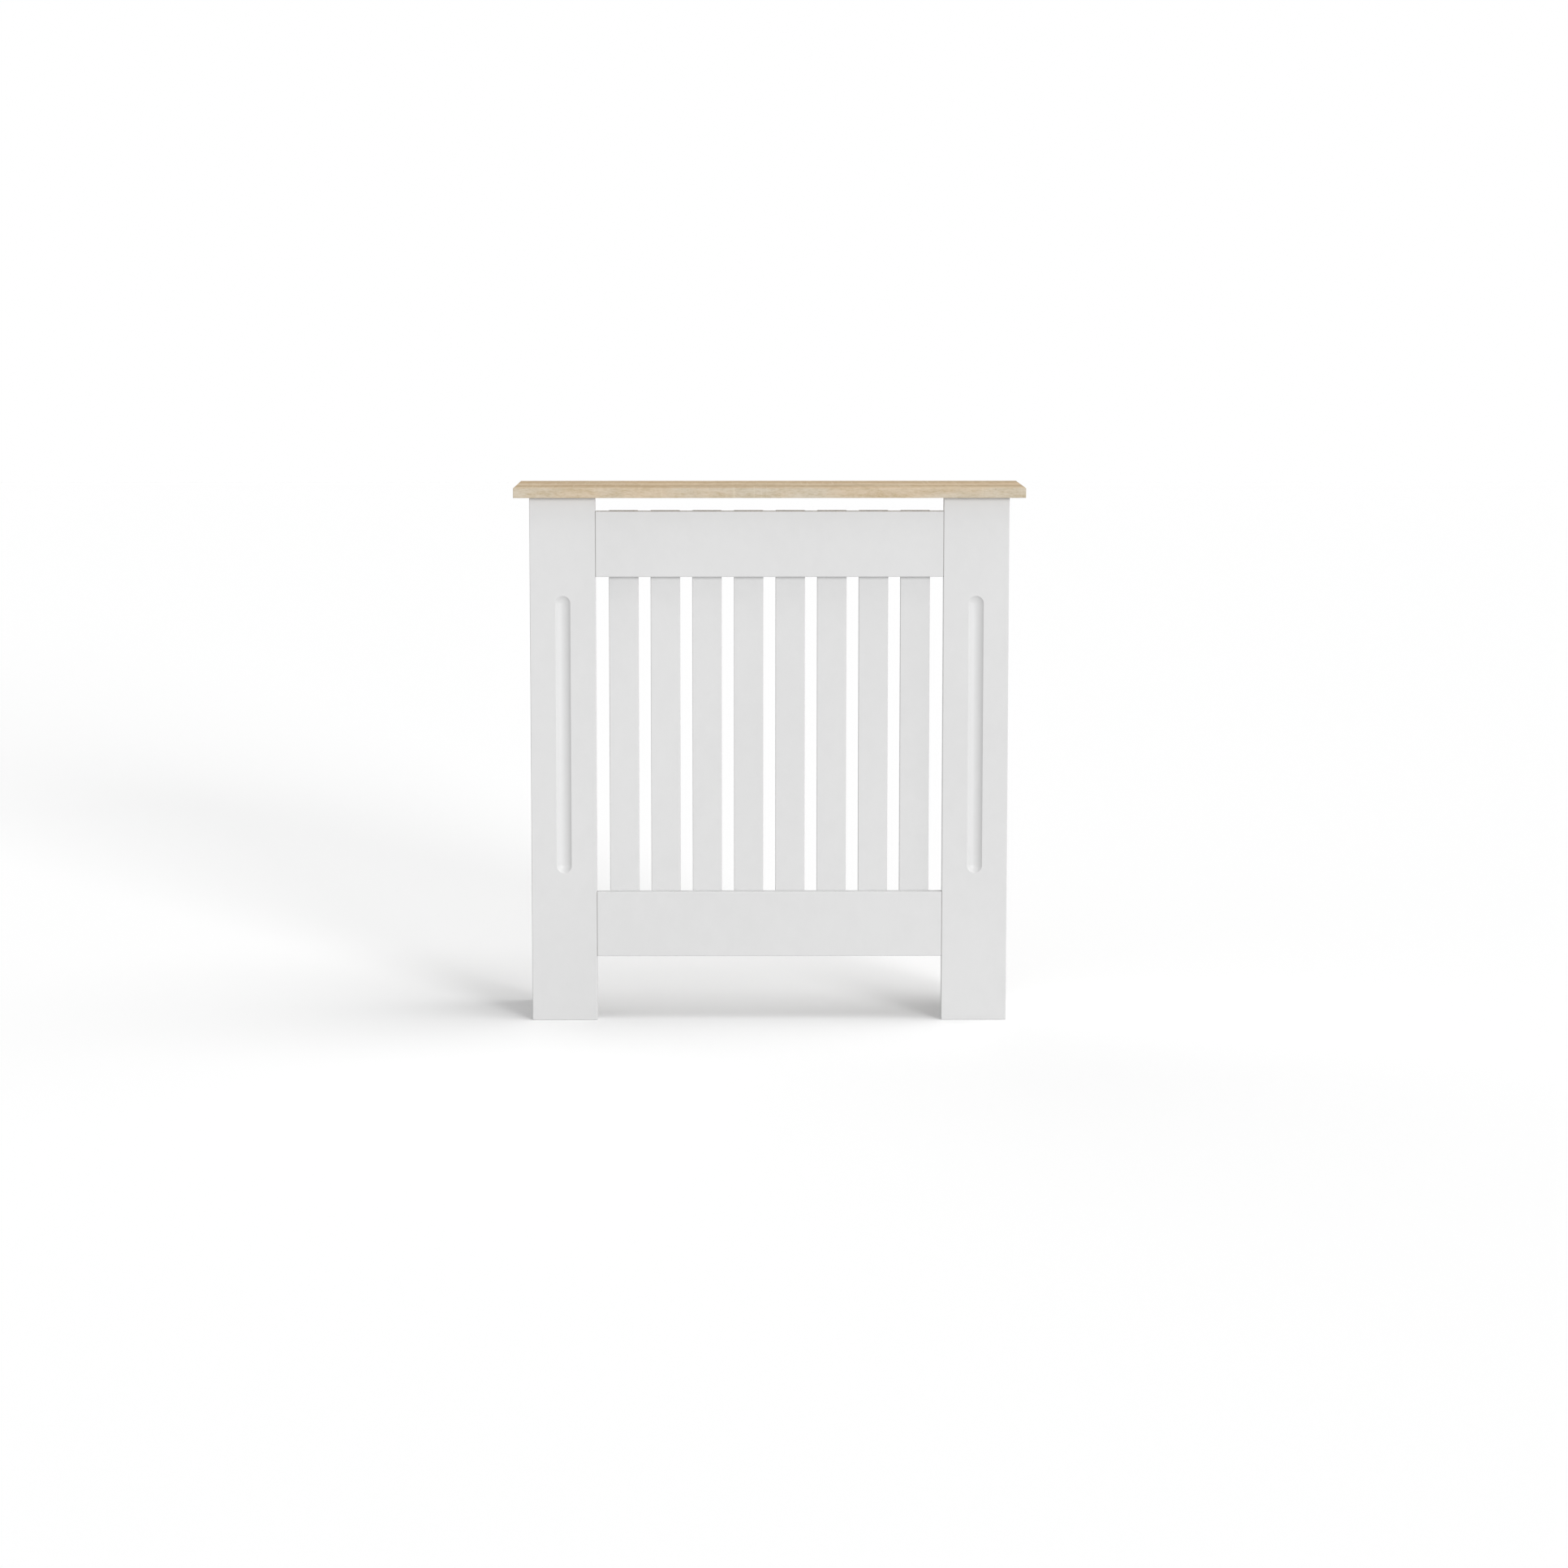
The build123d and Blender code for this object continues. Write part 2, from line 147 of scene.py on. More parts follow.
class Recipe:
    """The nodes of one finish. Each call adds a node and gives back what it puts out."""

    def __init__(self, name, **settings):
        self.material = bpy.data.materials.new(name)
        self.material.use_nodes = True
        self.tree = self.material.node_tree
        self.shader = self.tree.nodes["Principled BSDF"]
        for socket, value in settings.items():
            self.shader.inputs[socket.replace("_", " ")].default_value = value
        where = self.tree.nodes.new("ShaderNodeTexCoord")
        self.place = where.outputs["Object"]
        self.facing = where.outputs["Normal"]

    def node(self, kind, inputs, **settings):
        made = self.tree.nodes.new(kind)
        for setting, value in settings.items():
            setattr(made, setting, value)
        for socket, value in inputs.items():
            self.feed(made.inputs[socket], value)
        return made

    def feed(self, socket, value):
        if isinstance(value, bpy.types.NodeSocket):
            self.tree.links.new(value, socket)
        else:
            socket.default_value = value

    def calc(self, operation, *values):
        return self.node("ShaderNodeMath", dict(enumerate(values)), operation=operation).outputs[0]

    def weighted(self, *pairs):
        """The sum of values, each times its weight."""
        total, *rest = [self.calc("MULTIPLY", value, weight) for value, weight in pairs]
        for term in rest:
            total = self.calc("ADD", total, term)
        return total

    def swing(self, value, reach):
        """A value about one half, made to swing about nought and scaled."""
        return self.calc("MULTIPLY", self.calc("SUBTRACT", value, 0.5), reach)

    def vector(self, operation, *values):
        made = self.node("ShaderNodeVectorMath", dict(enumerate(values)), operation=operation)
        return made.outputs["Vector"]

    def split(self, vector):
        return self.node("ShaderNodeSeparateXYZ", {"Vector": vector}).outputs

    def join(self, x, y, z):
        return self.node("ShaderNodeCombineXYZ", {"X": x, "Y": y, "Z": z}).outputs["Vector"]

    def noise(self, scale, place=None, detail=3.0, roughness=0.5):
        """Noise whose scale is a number for each direction: about how many features a metre."""
        inputs = {
            "Vector": self.vector("MULTIPLY", self.place if place is None else place, scale),
            "Scale": 1.0,
            "Detail": detail,
            "Roughness": roughness,
        }
        return self.node("ShaderNodeTexNoise", inputs).outputs["Fac"]

    def level(self, value, low, high, to_low=0.0, to_high=1.0):
        """The value eased from one range into another, and held at its ends."""
        inputs = {0: value, 1: low, 2: high, 3: to_low, 4: to_high}
        return self.node("ShaderNodeMapRange", inputs, interpolation_type="SMOOTHSTEP").outputs[0]

    def blend(self, share, first, second, how="MIX"):
        inputs = {0: share, 6: first, 7: second}
        made = self.node("ShaderNodeMix", inputs, data_type="RGBA", blend_type=how)
        return made.outputs[2]

    def bump(self, height, distance, strength):
        inputs = {"Height": height, "Distance": distance, "Strength": strength}
        return self.node("ShaderNodeBump", inputs).outputs["Normal"]

    def finish(self, **sockets):
        for socket, value in sockets.items():
            self.feed(self.shader.inputs[socket.replace("_", " ")], value)
        return self.material


def raw_fibreboard(recipe):
    """The colour of cut fibreboard: brown, with pale and dark fibres felted together."""
    felt = recipe.noise((900.0, 900.0, 900.0), detail=5.0, roughness=0.7)
    lump = recipe.noise((160.0, 160.0, 160.0), detail=2.0)
    share = recipe.level(recipe.weighted((felt, 0.7), (lump, 0.3)), 0.34, 0.66)
    return recipe.blend(share, FIBRE_DARK, FIBRE_PALE)


def painted_board(name, bores=(), joint_shadowed=False):
    """White lacquer on fibreboard: a satin film with faint orange peel and roller lap,
    and raw fibreboard where a hole has been bored through the film.

    Each bore is (axis, first, second, radius, start, end): the direction it runs in, where
    it crosses the other two directions, in their own order, and its two ends.
    """
    recipe = Recipe(name, Specular_IOR_Level=0.42, Coat_Weight=0.06, Coat_Roughness=0.32)
    broad = recipe.noise((5.0, 5.0, 3.0), detail=2.0)
    mottle = recipe.noise((55.0, 55.0, 40.0), detail=3.0, roughness=0.6)
    peel = recipe.noise((520.0, 520.0, 520.0), detail=2.0, roughness=0.45)
    nap = recipe.noise((1900.0, 1900.0, 1900.0), detail=1.0)
    tone = recipe.weighted((broad, 0.6), (mottle, 0.4))
    film = recipe.blend(recipe.level(tone, 0.3, 0.7), LACQUER_DARK, LACQUER_PALE)
    rough = recipe.level(recipe.weighted((mottle, 1.0), (peel, 0.4)), 0.4, 1.0, 0.40, 0.50)
    relief = recipe.bump(recipe.weighted((peel, 1.0), (nap, 0.25)), 0.02 * MM, 0.55)
    # Painted shadow: the lacquer is darkened along the joints where rails meet posts.
    if joint_shadowed:
        film = recipe.blend(painted_joint_shadow(recipe), film, JOINT_PAINTED_SHADOW)
    if bores:
        film, rough = bored_film(recipe, film, rough, bores)
    return recipe.finish(Base_Color=film, Roughness=rough, Normal=relief)


def painted_joint_shadow(recipe):
    """Painted shadow in the gap where a rail's end meets its post: full on the joint's
    plane, none beyond its two chamfers."""
    x, _, z = recipe.split(recipe.vector("ABSOLUTE", recipe.place))
    off_joint = recipe.calc("ABSOLUTE", recipe.calc("SUBTRACT", x, POST_INNER_X))
    line = recipe.level(off_joint, 0.15 * MM, 0.75 * MM, 1.0, 0.0)
    beside_rail = 0.0
    for middle in RAIL_MID_Z.values():
        off_middle = recipe.calc("ABSOLUTE", recipe.calc("SUBTRACT", z, middle))
        beside_this = recipe.calc("LESS_THAN", off_middle, RAIL_HALF_HEIGHT)
        beside_rail = recipe.calc("MAXIMUM", beside_rail, beside_this)
    return recipe.calc("MULTIPLY", line, beside_rail)


def bored_film(recipe, film, rough, bores):
    """The film with raw board shown within each bore's radius, its broken lip ragged. The
    bores are given for the right half, and the left half mirrors them."""
    x, y, z = recipe.split(recipe.place)
    parts = (recipe.calc("ABSOLUTE", x), y, z)
    lip = recipe.swing(recipe.noise((700.0, 700.0, 700.0), detail=2.0), 1.0 * MM)
    inside = 0.0
    for axis, first, second, radius, start, end in bores:
        across = [part for i, part in enumerate(parts) if i != axis]
        offsets = [recipe.calc("SUBTRACT", v, c) for v, c in zip(across, (first, second))]
        squares = [recipe.calc("MULTIPLY", o, o) for o in offsets]
        distance = recipe.calc("SQRT", recipe.calc("ADD", *squares))
        edge = recipe.calc("ADD", distance, lip)
        off_middle = recipe.calc("ABSOLUTE", recipe.calc("SUBTRACT", parts[axis], (start + end) / 2))
        deep = recipe.calc("LESS_THAN", off_middle, abs(end - start) / 2)
        reached = recipe.calc("MULTIPLY", recipe.calc("LESS_THAN", edge, radius), deep)
        inside = recipe.calc("MAXIMUM", inside, reached)
    film = recipe.blend(inside, film, raw_fibreboard(recipe))
    rough = recipe.calc("MAXIMUM", rough, recipe.calc("MULTIPLY", inside, 0.85))
    return film, rough


# The print on the board's strips is this much smaller than on its face, along and across
# the grain, and begins this far along it.
FACE_PRINT_SCALE, STRIP_PRINT_SCALE = (1.0, 1.0, 1.0, 1.0), (14.0, 4.0, 1.0, 1.0)
STRIP_PRINT_START = 7.3


def print_place(recipe, on_front, on_end, on_edge):
    """Where each place of the board is on the print: along the grain, across it and in.

    Along is the board's width on its face and its front strip, and its depth on the end
    strips. The first result is that place in metres, and the second is on the print's scale.
    """
    x, y, z = recipe.split(recipe.place)
    up_edge = recipe.calc("SUBTRACT", z, TOP_MID_Z)
    lengthwise = recipe.blend(on_front, recipe.place, recipe.join(x, up_edge, y))
    lengthwise = recipe.blend(on_end, lengthwise, recipe.join(y, up_edge, x))
    scale = recipe.blend(on_edge, FACE_PRINT_SCALE, STRIP_PRINT_SCALE)
    start = recipe.join(recipe.calc("MULTIPLY", on_edge, STRIP_PRINT_START), 0.0, 0.0)
    return lengthwise, recipe.vector("ADD", recipe.vector("MULTIPLY", lengthwise, scale), start)


def wandering_grain(recipe, run, on_edge):
    """The place on the print with the grain moved sideways by a slow waver and a quick
    ripple: the place along, the place across, and all three together."""
    waver = recipe.noise((1.7, 8.0, 8.0), run, detail=2.0)
    ripple = recipe.noise((9.0, 40.0, 40.0), run, detail=2.0)
    along, across, through = recipe.split(run)
    drift = recipe.calc("ADD", recipe.swing(waver, 0.050), recipe.swing(ripple, 0.006))
    drift = recipe.calc("MULTIPLY", drift, recipe.level(on_edge, 0.0, 1.0, 1.0, 0.35))
    bent = recipe.calc("ADD", across, drift)
    return along, bent, recipe.join(along, bent, through)


def growth_rings(recipe, along, bent, flow):
    """How far through its ring each place is, from 0 to 1: the fraction of 1250 times the
    square of the distance from the heart, plus 5.2 times the place along, plus jitter, so
    that the rings are nested arches."""
    off_heart = recipe.calc("ADD", bent, 0.022)
    square = recipe.calc("MULTIPLY", off_heart, off_heart)
    jitter = recipe.noise((4.0, 45.0, 45.0), flow, detail=3.0, roughness=0.6)
    return recipe.calc("FRACT", recipe.weighted((square, 1250.0), (along, 5.2), (jitter, 1.6)))


def oak_colours(recipe, tone, flow, on_edge):
    """The tone turned into colour: dark to pale oak with a pink blush on the face, a paler
    pair with patches on the strips, and over all a cast that drifts from cool to warm."""
    share = recipe.level(tone, 0.38, 0.68)
    blush = recipe.level(recipe.noise((2.5, 26.0, 26.0), flow, detail=2.0), 0.45, 0.62)
    face = recipe.blend(share, OAK_DARK, OAK_PALE)
    face = recipe.blend(recipe.calc("MULTIPLY", blush, 0.20), face, OAK_BLUSH)
    patch = recipe.level(recipe.noise((30.0, 130.0, 130.0), flow, detail=2.0), 0.42, 0.60)
    edge = recipe.blend(share, STRIP_DARK, STRIP_PALE)
    edge = recipe.blend(recipe.calc("MULTIPLY", patch, 0.40), edge, STRIP_PATCH)
    warmth = recipe.level(recipe.noise((7.0, 14.0, 14.0), detail=4.0, roughness=0.6), 0.36, 0.64)
    cast = recipe.blend(warmth, COOL_CAST, WARM_CAST)
    cast_share = recipe.calc("ADD", 0.6, recipe.calc("MULTIPLY", on_edge, 0.4))
    return recipe.blend(cast_share, recipe.blend(on_edge, face, edge), cast, "MULTIPLY")


def strip_seam(recipe, off_edge):
    """The fine line on the face where the strips end: one where the way in from the nearest
    edge, front or side, is a strip's thickness, give or take half the seam's width."""
    x, y, _ = recipe.split(recipe.place)
    from_front = recipe.calc("ADD", y, TOP_HALF_DEPTH)
    from_side = recipe.calc("SUBTRACT", TOP_HALF_WIDTH, recipe.calc("ABSOLUTE", x))
    inset = recipe.calc("MINIMUM", from_front, from_side)
    off_seam = recipe.calc("ABSOLUTE", recipe.calc("SUBTRACT", inset, STRIP_THICKNESS))
    return recipe.calc("MULTIPLY", recipe.calc("LESS_THAN", off_seam, SEAM_HALF_WIDTH), off_edge)


def oak_effect_laminate():
    """Pale sawn-oak print: bands and long streaks, nested arches of figure, mottle, flecks,
    short pores, faint saw marks across the grain, and a cast that drifts from cool to warm.
    The strips on the front and the ends carry the print at a smaller scale, and are a
    little paler than the face."""
    recipe = Recipe("oak_effect_laminate", Specular_IOR_Level=0.18)
    facing_x, facing_y, _ = recipe.split(recipe.vector("ABSOLUTE", recipe.facing))
    on_end = recipe.calc("GREATER_THAN", facing_x, 0.7)
    on_front = recipe.calc("GREATER_THAN", facing_y, 0.7)
    on_edge = recipe.calc("MAXIMUM", on_end, on_front)
    off_edge = recipe.calc("SUBTRACT", 1.0, on_edge)
    lengthwise, run = print_place(recipe, on_front, on_end, on_edge)
    along, bent, flow = wandering_grain(recipe, run, on_edge)
    ring = growth_rings(recipe, along, bent, flow)

    broad = recipe.noise((1.8, 30.0, 30.0), flow, detail=3.0, roughness=0.55)
    streak = recipe.noise((6.0, 210.0, 210.0), flow, detail=4.0, roughness=0.65)
    fine = recipe.noise((24.0, 1000.0, 1000.0), flow, detail=3.0, roughness=0.6)
    mottle = recipe.swing(recipe.noise((85.0, 16.0, 16.0), flow, detail=3.0), 0.21)
    mottle = recipe.calc("MULTIPLY", mottle, off_edge)
    fleck = recipe.swing(recipe.noise((150.0, 420.0, 420.0), lengthwise, detail=2.0), 0.30)
    wave = recipe.calc("SINE", recipe.calc("MULTIPLY", recipe.calc("ADD", bent, 0.016), 60.0))
    wave = recipe.calc("MULTIPLY", wave, off_edge)
    figure = recipe.calc("SUBTRACT", recipe.level(ring, 0.0, 0.75), recipe.level(ring, 0.8, 1.0))
    figure = recipe.calc("MULTIPLY", figure, recipe.level(on_edge, 0.0, 1.0, 0.10, 0.03))
    tone = recipe.weighted((broad, 0.50), (streak, 0.40), (fine, 0.24))
    tone = recipe.calc("ADD", tone, recipe.calc("ADD", mottle, fleck))
    tone = recipe.calc("ADD", tone, recipe.calc("MULTIPLY", wave, 0.070))
    tone = recipe.calc("SUBTRACT", tone, figure)

    pore_run = recipe.blend(on_edge, flow, lengthwise)
    pore = recipe.level(recipe.noise((85.0, 1900.0, 1900.0), pore_run, detail=2.0), 0.60, 0.70)
    pore = recipe.calc("MULTIPLY", pore, recipe.level(ring, 0.35, 0.9, 0.25, 1.0))
    saw = recipe.noise((330.0, 5.0, 5.0), detail=2.0, roughness=0.7)
    saw_patch = recipe.level(recipe.noise((9.0, 13.0, 13.0), detail=1.0), 0.46, 0.62)
    saw_line = recipe.calc("MULTIPLY", recipe.level(saw, 0.56, 0.68), saw_patch)
    seam = strip_seam(recipe, off_edge)

    wood = oak_colours(recipe, tone, flow, on_edge)
    wood = recipe.blend(recipe.calc("MULTIPLY", pore, 0.45), wood, PORE_BROWN)
    wood = recipe.blend(recipe.calc("MULTIPLY", saw_line, 0.30), wood, SAW_MARK)
    wood = recipe.blend(recipe.calc("MULTIPLY", seam, 0.5), wood, SEAM_BROWN)
    rough = recipe.level(tone, 0.3, 0.7, 0.74, 0.66)
    height = recipe.weighted((fine, 0.5), (pore, -1.0), (seam, -2.0))
    relief = recipe.bump(height, 0.05 * MM, 0.5)
    return recipe.finish(Base_Color=wood, Roughness=rough, Normal=relief)


def beech_dowel():
    """Pressed beech: pale straight grain along the dowel, with short darker flecks."""
    recipe = Recipe("beech_dowel", Specular_IOR_Level=0.25)
    turned = recipe.node("ShaderNodeUVMap", {}, uv_map="along").outputs["UV"]
    grain = recipe.noise((60.0, 900.0, 1.0), turned, detail=3.0)
    fleck = recipe.level(recipe.noise((420.0, 2600.0, 1.0), turned, detail=1.0), 0.62, 0.7)
    wood = recipe.blend(recipe.level(grain, 0.35, 0.65), BEECH_DARK, BEECH_PALE)
    wood = recipe.blend(recipe.calc("MULTIPLY", fleck, 0.6), wood, BEECH_FLECK)
    rough = recipe.level(grain, 0.3, 0.7, 0.72, 0.6)
    relief = recipe.bump(grain, 0.04 * MM, 0.6)
    return recipe.finish(Base_Color=wood, Roughness=rough, Normal=relief)


def die_cast_cam():
    """Zinc alloy as cast: dull grey, a pebbled skin and brighter places where it rubs."""
    recipe = Recipe("die_cast_cam", Metallic=1.0)
    cloud = recipe.noise((260.0, 260.0, 260.0), detail=3.0)
    skin = recipe.noise((2400.0, 2400.0, 2400.0), detail=2.0)
    rub = recipe.noise((900.0, 900.0, 900.0), detail=4.0, roughness=0.7)
    rub = recipe.level(rub, 0.55, 0.7)
    metal = recipe.blend(recipe.level(cloud, 0.3, 0.7), CAST_DARK, CAST_PALE)
    metal = recipe.blend(recipe.calc("MULTIPLY", rub, 0.5), metal, CAST_RUBBED)
    rough = recipe.level(skin, 0.2, 0.8, 0.58, 0.46)
    rough = recipe.calc("SUBTRACT", rough, recipe.calc("MULTIPLY", rub, 0.12))
    relief = recipe.bump(skin, 0.03 * MM, 0.6)
    return recipe.finish(Base_Color=metal, Roughness=rough, Normal=relief)


def zinc_plate(name, dark, pale, least_rough, most_rough):
    """Zinc plate: two close greys clouded together, with a fine grit in its gloss."""
    recipe = Recipe(name, Metallic=1.0)
    cloud = recipe.noise((190.0, 190.0, 190.0), detail=4.0, roughness=0.6)
    grit = recipe.noise((1500.0, 1500.0, 1500.0), detail=2.0)
    metal = recipe.blend(recipe.level(cloud, 0.32, 0.68), dark, pale)
    tone = recipe.weighted((cloud, 1.0), (grit, 0.5))
    rough = recipe.level(tone, 0.5, 1.0, least_rough, most_rough)
    relief = recipe.bump(grit, 0.01 * MM, 0.5)
    return recipe.finish(Base_Color=metal, Roughness=rough, Normal=relief)


# ---- Surfaces -----------------------------------------------------------------------

SHARP_EDGE = math.radians(40.0)


def closed_turning(radius, angle, height):
    """Points and faces of a form closed at both ends.

    Row i, column j is (radius cos angle, radius sin angle, height), the rows running from
    the top pole down the outside to the bottom pole. The first and last rows are poles, so
    each gives one point and a fan of triangles.
    """
    rows, columns = radius.shape
    ring = np.stack([radius * np.cos(angle), radius * np.sin(angle), height], axis=-1)
    body = ring[1:-1].reshape(-1, 3)
    points = np.vstack([body, ring[0, :1], ring[-1, :1]])
    here = np.arange(columns)
    beside = np.roll(here, -1)
    upper = np.arange(rows - 3)[:, None] * columns
    lower = upper + columns
    quads = np.stack([upper + here, lower + here, lower + beside, upper + beside], axis=-1)
    last = (rows - 3) * columns
    top = len(body)
    crown = np.stack([np.full(columns, top), here, beside], axis=-1)
    foot = np.stack([np.full(columns, top + 1), last + beside, last + here], axis=-1)
    return points, quads.reshape(-1, 4), np.vstack([crown, foot])


def basis(axis, toward=None):
    """Three unit directions in columns: the last is the axis, the first is square to it."""
    axis = np.asarray(axis, float)
    if toward is None:
        toward = (0.0, 0.0, 1.0) if abs(axis[2]) < 0.5 else (0.0, 1.0, 0.0)
    toward = np.asarray(toward, float)
    return np.stack([toward, np.cross(axis, toward), axis], axis=-1)


def to_matrix(directions, origin):
    """Blender's matrix for three directions in columns and an origin."""
    full = np.eye(4)
    full[:3, :3] = directions
    full[:3, 3] = origin
    return Matrix(full.tolist())


def copies(form, places):
    """One form repeated: its points turned by each place's directions and moved there."""
    points, quads, triangles = form
    turned = [points @ directions.T + np.asarray(origin) for origin, directions in places]
    step = len(points) * np.arange(len(places))[:, None, None]
    return (
        np.vstack(turned),
        (quads[None] + step).reshape(-1, 4),
        (triangles[None] + step).reshape(-1, 3),
    )


def make_piece(name, form, finishes, slot, body="cabinet", stands_for=(), along=None):
    """A piece from a form's arrays, shaded smooth but for its sharp edges. Where given, the
    way along and round each point becomes the map that the grain follows."""
    points, quads, triangles = form
    mesh = bpy.data.meshes.new(name)
    mesh.from_pydata(points.tolist(), [], quads.tolist() + triangles.tolist())
    mesh.shade_smooth()
    mesh.set_sharp_from_angle(angle=SHARP_EDGE)
    if along is not None:
        corners = np.empty(len(mesh.loops), dtype=np.int32)
        mesh.loops.foreach_get("vertex_index", corners)
        layer = mesh.uv_layers.new(name="along")
        layer.uv.foreach_set("vector", along[corners].astype(np.float32).ravel())
    mesh.materials.append(finishes[slot])
    piece = bpy.data.objects.new(name, mesh)
    bpy.context.scene.collection.objects.link(piece)
    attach(piece, body)
    if stands_for:
        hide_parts(*stands_for)
    return piece


# ---- Rows of a turned fitting, in millimetres ---------------------------------------

# Columns round a driven head: eight to a quarter, three of them inside each arm.
QUARTER = 8
ROUND = 4 * QUARTER
EVEN = np.arange(ROUND) * 2 * math.pi / ROUND
IN_ARM = np.tile([True, True, False, False, False, False, False, True], 4)
# How far a column stands off an arm's edge, in radians, and the widest an arm may be as a
# share of the radius, so that its columns stay in their quarter.
ARM_SPLIT = 0.02
WIDEST_ARM = 0.66
ROWS_A_TURN = 7.0


def arm_columns(radius, half_width):
    """Angles at which one ring crosses the edges of a four-armed recess.

    An arm's edge is where the sine of the angle from the arm's middle is half width over
    radius. One column runs just inside that edge and one just outside.
    """
    edge = math.asin(min(half_width / radius, WIDEST_ARM))
    inner, outer = edge - ARM_SPLIT, edge + ARM_SPLIT
    spread = np.linspace(outer, math.pi / 2 - outer, 5)
    quarter = np.array([0.0, inner, *spread, math.pi / 2 - inner])
    return (quarter + np.arange(4)[:, None] * math.pi / 2).ravel()


def driven_face(radius, crown, arm, half_width, depth):
    """Rows of a screw's face, from the middle out, with a four-armed recess.

    The face is a low dome, crown (1 - (r / radius)^2). Inside the arms it is lower by the
    depth, less 0.4 of it times (r / arm)^2, so the floor rises outwards as a driver's does.
    """
    heart = half_width * math.sqrt(2.0)
    rings = [0.0, 0.55 * heart, 0.96 * heart, 1.22 * heart]
    rings += [heart + (arm - heart) * share for share in (0.45, 0.72, 0.96)]
    rows = []
    for r in rings:
        across_heart = r < heart
        angle = EVEN if across_heart else arm_columns(r, half_width)
        lowered = np.ones(ROUND, bool) if across_heart else IN_ARM
        floor = depth * (1.0 - 0.4 * (r / arm) ** 2)
        dome = crown * (1.0 - (r / radius) ** 2)
        rows.append((np.full(ROUND, r), angle, dome - np.where(lowered, floor, 0.0)))
    rim = arm * 1.02
    for share in (0.0, 0.35, 0.8):
        r = rim + (radius - rim) * share
        angle = arm_columns(r, half_width) * (1 - share) + EVEN * share
        rows.append((np.full(ROUND, r), angle, np.full(ROUND, crown * (1.0 - (r / radius) ** 2))))
    return rows


def turned_rows(outline):
    """Rows from an outline of (radius, height) pairs, the same all the way round."""
    return [(np.full(ROUND, r), EVEN, np.full(ROUND, h)) for r, h in outline]


def thread_rows(top, bottom, core, crest, pitch, taper):
    """Rows of a screw thread from one height down to another.

    The radius is the core's plus a tooth: one minus four times the distance, in turns, from
    the middle of the tooth, where the turn at a point is height / pitch - angle / 2 pi. The
    tooth fades in over the first turn, and core and tooth shrink towards the tip.
    """
    heights = np.arange(top, bottom, -pitch / ROWS_A_TURN)
    turn = np.mod(heights[:, None] / pitch - EVEN[None] / (2 * math.pi), 1.0)
    tooth = np.clip(1.0 - 4.0 * np.abs(turn - 0.5), 0.0, 1.0)
    down = (top - heights) / (top - bottom)
    fade = np.clip((top - heights) / pitch, 0.0, 1.0) * np.clip((1.0 - down) * 6.0, 0.15, 1.0)
    slim = 1.0 - taper * np.clip(down * 4.0 - 3.0, 0.0, 1.0)
    radius = (core + (crest - core) * tooth * fade[:, None]) * slim[:, None]
    return [(row, EVEN, np.full(ROUND, h)) for row, h in zip(radius, heights)]


def raised(rows, rise):
    return [(radius, angle, height + rise) for radius, angle, height in rows]


def stacked(rows):
    """Rows of (radius, angle, height) made into the three arrays of a closed turning."""
    radius, angle, height = (np.array([row[i] for row in rows]) for i in range(3))
    return closed_turning(radius * MM, angle, height * MM)


# ---- Fittings, drawn in millimetres -------------------------------------------------


def slat_screw():
    """A countersunk wood screw, its face at height 0 and its point 20 below."""
    rows = driven_face(radius=3.35, crown=0.0, arm=2.0, half_width=0.42, depth=1.7)
    rows += turned_rows([(3.35, 0.0), (3.37, -0.12), (1.75, -1.75), (1.35, -2.6)])
    rows += thread_rows(-2.8, -19.3, core=1.12, crest=1.73, pitch=1.5, taper=0.7)
    rows += turned_rows([(0.22, -19.6), (0.0, -19.95)])
    return stacked(rows)


def bracket_screw():
    """A pan-headed screw: a domed head above height 0, and a threaded shank below it."""
    face = driven_face(radius=2.3, crown=0.25, arm=1.75, half_width=0.40, depth=1.2)
    rows = raised(face, 1.72)
    rows += turned_rows([(2.35, 1.70), (2.85, 1.50), (3.28, 1.05), (3.45, 0.55), (3.45, 0.12)])
    rows += turned_rows([(3.32, 0.0), (1.7, 0.0), (1.3, -0.4)])
    rows += thread_rows(-0.5, -11.4, core=1.10, crest=1.72, pitch=1.4, taper=0.6)
    rows += turned_rows([(0.25, -11.7), (0.0, -11.95)])
    return stacked(rows)


def cam_bolt():
    """A cam bolt: a ball with a driver recess on a neck, a ribbed shank, a collar and a
    coarse thread. The ball is cut flat at the top, and swept to 52 degrees below its middle."""
    ball_radius, ball_height, flat_radius = 3.38, 22.8, 2.3
    flat_height = ball_height + math.sqrt(ball_radius**2 - flat_radius**2)
    face = driven_face(radius=flat_radius, crown=0.1, arm=1.7, half_width=0.40, depth=1.5)
    rows = raised(face, flat_height)
    sweep = np.linspace(math.acos(flat_radius / ball_radius), math.radians(-52.0), 9)
    ball = [(ball_radius * math.cos(a), ball_height + ball_radius * math.sin(a)) for a in sweep]
    rows += turned_rows(ball)
    rows += turned_rows([(1.98, 19.6), (1.95, 15.4), (3.05, 14.1)])
    ribs = 3.08 + 0.10 * np.tile([1.0, -1.0], ROUND // 2)
    rows += [(ribs, EVEN, np.full(ROUND, height)) for height in (13.8, 10.0, 6.0, 2.2)]
    rows += turned_rows([(3.0, 1.9), (3.0, 1.3), (3.18, 1.1), (3.18, 0.1), (2.4, 0.0)])
    rows += thread_rows(-0.1, -9.8, core=2.15, crest=2.98, pitch=2.0, taper=0.25)
    rows += turned_rows([(1.6, -10.0), (0.9, -10.4), (0.0, -10.45)])
    return stacked(rows)


